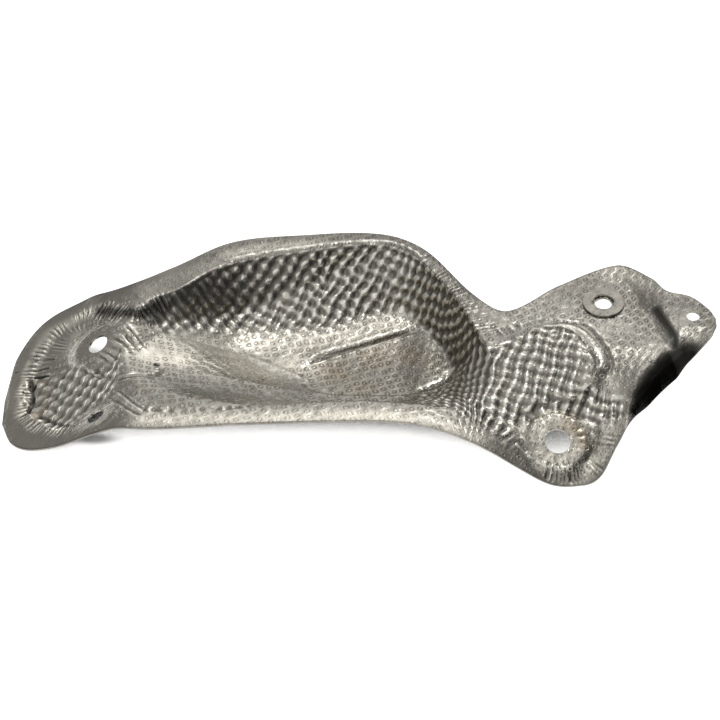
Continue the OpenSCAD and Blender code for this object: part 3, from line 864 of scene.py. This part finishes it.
# Tips of the relief: worn metal and painted highlight; grooves: dirt and painted shade
TIP_WEAR_AND_HIGHLIGHT, GROOVE_DIRT_AND_SHADE = (0.98, 0.94, 0.84), (0.15, 0.135, 0.115)
TARNISH, SPECK = (0.30, 0.27, 0.225), (0.05, 0.04, 0.035)
STEEL, PALE_STEEL = (0.24, 0.225, 0.195), (0.52, 0.49, 0.43)
WORN_STEEL, STEEL_SPOT = (0.60, 0.57, 0.50), (0.10, 0.09, 0.075)
# Ramps of the noises and of the relief, and the shares of the layers they give
PATCH_RAMP, CLOUD_RAMP, SPECK_RAMP, SPOT_RAMP = (0.35, 0.65), (0.3, 0.7), (0.70, 0.76), (0.58, 0.7)
TIP_WEAR_HIGHLIGHT_RAMP, GROOVE_DIRT_SHADE_RAMP = (0.05, 0.65), (-0.2, -0.9, 0.0, 0.75)
UNEVENNESS, TARNISH_SHARE, SPECK_SHARE, WORN_SHARE, SPOT_SHARE = 1.2, 0.35, 0.75, 0.35, 0.6
MATTE_CHANGE, TIP_CHANGE = -0.65, -0.07
SHEET_ROUGHNESS, STEEL_ROUGHNESS = (0.19, 0.33), (0.3, 0.48)
# The washer's worn band in metres: how wide it fades in and out, and how much its edge wanders
WORN_IN, WORN_OUT, WORN_WANDER = 0.0035, 0.0015, 0.001


def sheet_bump(n, place, phase_a, phase_b):
    """Height of the flat rings, the grain and the fine wrinkles of the sheet."""
    wave_a = n.math("COSINE", n.math("MULTIPLY", phase_a, 2 * math.pi))
    wave_b = n.math("COSINE", n.math("MULTIPLY", phase_b, 2 * math.pi))
    size = n.math("ABSOLUTE", n.math("MULTIPLY", n.math("ADD", wave_a, wave_b), 0.5))
    ring = n.math("SUBTRACT", n.ramp(size, *RING_INNER), n.ramp(size, *RING_OUTER))
    flat = n.math("SUBTRACT", n.math("SUBTRACT", 1.0, n.value("bold")), n.value("ironed"))
    worn = n.ramp(n.noise(place, *WEAR), *RING_WEAR)
    high = n.math("MULTIPLY_ADD", n.value("clean_and_sheen"), CLEAN_SHEEN_RING_CHANGE, RING_HEIGHT)
    rings = n.math("MULTIPLY", n.math("MULTIPLY", ring, worn),
                   n.math("MAXIMUM", n.math("MULTIPLY", flat, high), 0.0))
    grain = n.math("MULTIPLY", n.noise(place, *GRAIN), GRAIN_HEIGHT)
    # The fine wrinkles run slantwise to the rows of dimples
    slant = n.add("ShaderNodeCombineXYZ")
    n.link(n.math("MULTIPLY_ADD", phase_b, SLANT[0], phase_a), slant.inputs["X"])
    n.link(n.math("MULTIPLY", n.math("SUBTRACT", phase_b, phase_a), SLANT[1]), slant.inputs["Y"])
    wrinkle = n.math("MULTIPLY", n.noise(slant.outputs[0], *CRINKLE), CRINKLE_HEIGHT)
    return n.math("ADD", rings, n.math("ADD", grain, wrinkle))


def sheet_material():
    material, n = new_material("stained_aluminium_with_painted_shade")
    place = n.place()
    soft = n.ramp(n.noise(place, *PATCHES), *PATCH_RAMP)
    fine = n.ramp(n.noise(place, *CLOUDS), *CLOUD_RAMP)
    specks = n.ramp(n.noise(place, *SPECKS), *SPECK_RAMP)
    uneven = n.math("SUBTRACT", n.noise(place, *UNEVEN), 0.5)
    uneven = n.math("MULTIPLY_ADD", uneven, UNEVENNESS, 1.0)
    level = n.value("raised")
    colour = n.layers(n.colours(soft, BARE, PALE), (
        # Painted highlight and sheen, partly cleaner metal, in the bright stretches
        (n.math("MULTIPLY", n.value("clean_and_sheen"), uneven), CLEAN_SHEEN_TONE),
        # Grime, and painted shade where the sheet faces away from the light and along its edge
        (n.math("MULTIPLY", n.value("grime_and_shade"), uneven), GRIME_SHADE_TONE),
        (n.math("MULTIPLY", n.value("rusty"), n.math("MULTIPLY", uneven, soft)), RUST),
        # Tips lighter as worn metal and painted highlight, grooves darker as dirt and painted shade
        (n.ramp(level, *TIP_WEAR_HIGHLIGHT_RAMP), TIP_WEAR_AND_HIGHLIGHT),
        (n.ramp(level, *GROOVE_DIRT_SHADE_RAMP), GROOVE_DIRT_AND_SHADE),
        (n.math("MULTIPLY", fine, TARNISH_SHARE), TARNISH),
        # Painted deep shade, with a few specks of soot
        (n.value("soot_and_shade"), SOOT_SHADE_TONE),
        (n.math("MULTIPLY", specks, SPECK_SHARE), SPECK),
    ))
    metallic = n.math("MULTIPLY_ADD", n.value("matte"), MATTE_CHANGE, 1.0)
    roughness = n.math("MULTIPLY_ADD", level, TIP_CHANGE, n.ramp(fine, 0.0, 1.0, *SHEET_ROUGHNESS))
    height = sheet_bump(n, place, n.value("phase_a"), n.value("phase_b"))
    n.metal(colour, metallic, roughness, height, SHEET_BUMP)
    return material


def washer_material():
    material, n = new_material("dull_steel")
    place = n.place()
    soft = n.ramp(n.noise(place, *STEEL_PATCHES), *PATCH_RAMP)
    low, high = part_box("captive_washer")
    away = n.vector("DISTANCE", place, (low + high) / 2, "Value")
    radius = n.math("MULTIPLY_ADD", soft, WORN_WANDER, away)
    outer = (high.x - low.x) / 2
    inner = WASHER_BORE * MM
    worn = n.math("SUBTRACT", n.ramp(radius, inner, inner + WORN_IN),
                  n.ramp(radius, outer - WORN_OUT, outer))
    spots = n.ramp(n.noise(place, *STEEL_SPOTS), *SPOT_RAMP)
    colour = n.layers(n.colours(soft, STEEL, PALE_STEEL), (
        (n.math("MULTIPLY", worn, WORN_SHARE), WORN_STEEL),
        (n.math("MULTIPLY", spots, SPOT_SHARE), STEEL_SPOT),
    ))
    turned = n.add("ShaderNodeTexNoise", noise_dimensions="1D")
    n.link(n.math("MULTIPLY", away, TURNING_SCALE), turned.inputs["W"])
    height = n.math("ADD", n.math("MULTIPLY", n.noise(place, *STEEL_GRAIN), STEEL_GRAIN_HEIGHT),
                    n.math("MULTIPLY", turned.outputs["Fac"], TURNING_HEIGHT))
    n.metal(colour, 1.0, n.ramp(soft, 0.0, 1.0, *STEEL_ROUGHNESS), height, STEEL_BUMP)
    return material


FLOOR_SIZE, PAPER, PAPER_GLOW = 12, (0.9, 0.9, 0.9), 0.85
# Contact shadow: how far off, in metres, things hide the floor, and the ramp it is seen through
HIDING_REACH, HIDING_SAMPLES, HIDING_RAMP = 0.15, 32, (0.115, 0.185)
# Soft shadow on the floor in front of the lobe: its middle, its half size and its ramp
LOBE_SHADOW, LOBE_SHADOW_SIZE = (-0.141, -0.042, 0), (0.012, 0.004, 1)
LOBE_SHADOW_RAMP = (0.3, 1.5, 0.25, 1.0)


def floor_material():
    """White paper with a contact shadow, whose glow only the camera and mirrors see."""
    material, n = new_material("pale_floor")
    path = n.add("ShaderNodeLightPath").outputs
    seen = n.math("MAXIMUM", path["Is Glossy Ray"], path["Is Transmission Ray"])
    seen = n.math("MAXIMUM", path["Is Camera Ray"], seen)
    hidden = n.add("ShaderNodeAmbientOcclusion", samples=HIDING_SAMPLES)
    n.set(hidden.inputs["Distance"], HIDING_REACH)
    open_floor = n.ramp(hidden.outputs["AO"], *HIDING_RAMP)
    offset = n.vector("SUBTRACT", n.place(), LOBE_SHADOW)
    length = n.vector("LENGTH", n.vector("DIVIDE", offset, LOBE_SHADOW_SIZE), out="Value")
    open_floor = n.math("MULTIPLY", open_floor, n.ramp(length, *LOBE_SHADOW_RAMP))
    paper = n.add("ShaderNodeBsdfDiffuse")
    n.link(n.colours(open_floor, (0, 0, 0), PAPER), paper.inputs["Color"])
    glow = n.add("ShaderNodeEmission")
    strength = n.math("MULTIPLY", n.math("MULTIPLY", seen, open_floor), PAPER_GLOW)
    n.link(strength, glow.inputs["Strength"])
    both = n.add("ShaderNodeAddShader")
    n.link(paper.outputs[0], both.inputs[0])
    n.link(glow.outputs[0], both.inputs[1])
    n.link(both.outputs[0], n.add("ShaderNodeOutputMaterial").inputs[0])
    return material


sheet_look = sheet_material()
for skin in skins:
    skin.data.materials.append(sheet_look)
washer = bpy.data.objects["captive_washer"]
washer.data.materials.clear()
washer.data.materials.append(washer_material())

# Floor, room, lamp and camera.
bpy.ops.mesh.primitive_plane_add(size=FLOOR_SIZE, location=(0, 0, 0))
floor = bpy.context.object
floor.name = "floor"
floor.data.materials.append(floor_material())

# Light of the whole room, and the least that is left of it
ROOM_LIGHT, LEAST_LIGHT = 0.5, 0.03
# Bright and dark stretches of the room: azimuth and elevation, where they start, strength
GLOWS = [
    ((120, 15), 0.3, -0.42),
    ((180, 60), 0.7, 0.55),
    ((-60, 20), 0.5, -0.08),
    ((-50, 64), 0.85, 0.15),
]
# A tall window: its azimuth, where it starts, strength
WINDOW = (16, 0.82, 0.85)


def direction(azimuth, elevation):
    """Unit vector for an azimuth from the back towards the right, and an elevation."""
    a, e = math.radians(azimuth), math.radians(elevation)
    return math.sin(a) * math.cos(e), math.cos(a) * math.cos(e), math.sin(e)


def light_room(n):
    """The room that the metal mirrors."""
    way = n.place("Generated")
    level = ROOM_LIGHT
    for centre, start, amount in GLOWS:
        near = n.vector("DOT_PRODUCT", way, direction(*centre), "Value")
        level = n.math("MULTIPLY_ADD", n.ramp(near, start, 1.0), amount, level)
    flat_way = n.vector("NORMALIZE", n.vector("MULTIPLY", way, (1, 1, 0)))
    azimuth, start, amount = WINDOW
    near = n.vector("DOT_PRODUCT", flat_way, direction(azimuth, 0), "Value")
    level = n.math("MULTIPLY_ADD", n.ramp(near, start, 1.0), amount, level)
    back = n.add("ShaderNodeBackground")
    n.link(n.math("MAXIMUM", level, LEAST_LIGHT), back.inputs["Strength"])
    n.link(back.outputs[0], n.add("ShaderNodeOutputWorld").inputs[0])


scene = bpy.context.scene
world = bpy.data.worlds.new("studio")
scene.world = world
world.use_nodes = True
light_room(Nodes(world.node_tree))

LAMP_WATTS, LAMP_SIZE, LAMP_PLACE = 3, 0.5, Vector((0.5, 1.0, 1.9))
lamp_data = bpy.data.lights.new("overhead", "AREA")
lamp_data.energy = LAMP_WATTS
lamp_data.size = LAMP_SIZE
lamp = bpy.data.objects.new("overhead", lamp_data)
lamp.location = LAMP_PLACE
lamp.rotation_euler = LAMP_PLACE.to_track_quat("Z", "Y").to_euler()
bpy.context.collection.objects.link(lamp)

# The photo is this many pixels wide and looks down at the shield from the front
PHOTO = 720
MM_PER_PIXEL = 0.53
LOOK_DOWN = math.radians(45)
# In metres, except the sensor in mm
DISTANCE, FAR, SENSOR = 1.6, 50, 36
AIM = Vector((0, -0.02124, 0.01862))
# In pixels
AIM_BELOW_CENTRE = 26
camera_data = bpy.data.cameras.new("camera")
camera_data.sensor_width = SENSOR
camera_data.lens = SENSOR * DISTANCE / (PHOTO * MM_PER_PIXEL * MM)
camera_data.shift_y = AIM_BELOW_CENTRE / PHOTO
camera_data.clip_end = FAR
camera = bpy.data.objects.new("camera", camera_data)
back_way = Vector((0, -math.cos(LOOK_DOWN), math.sin(LOOK_DOWN)))
camera.location = AIM + back_way * DISTANCE
camera.rotation_euler = back_way.to_track_quat("Z", "Y").to_euler()
bpy.context.collection.objects.link(camera)
scene.camera = camera
scene.view_settings.view_transform = "Standard"
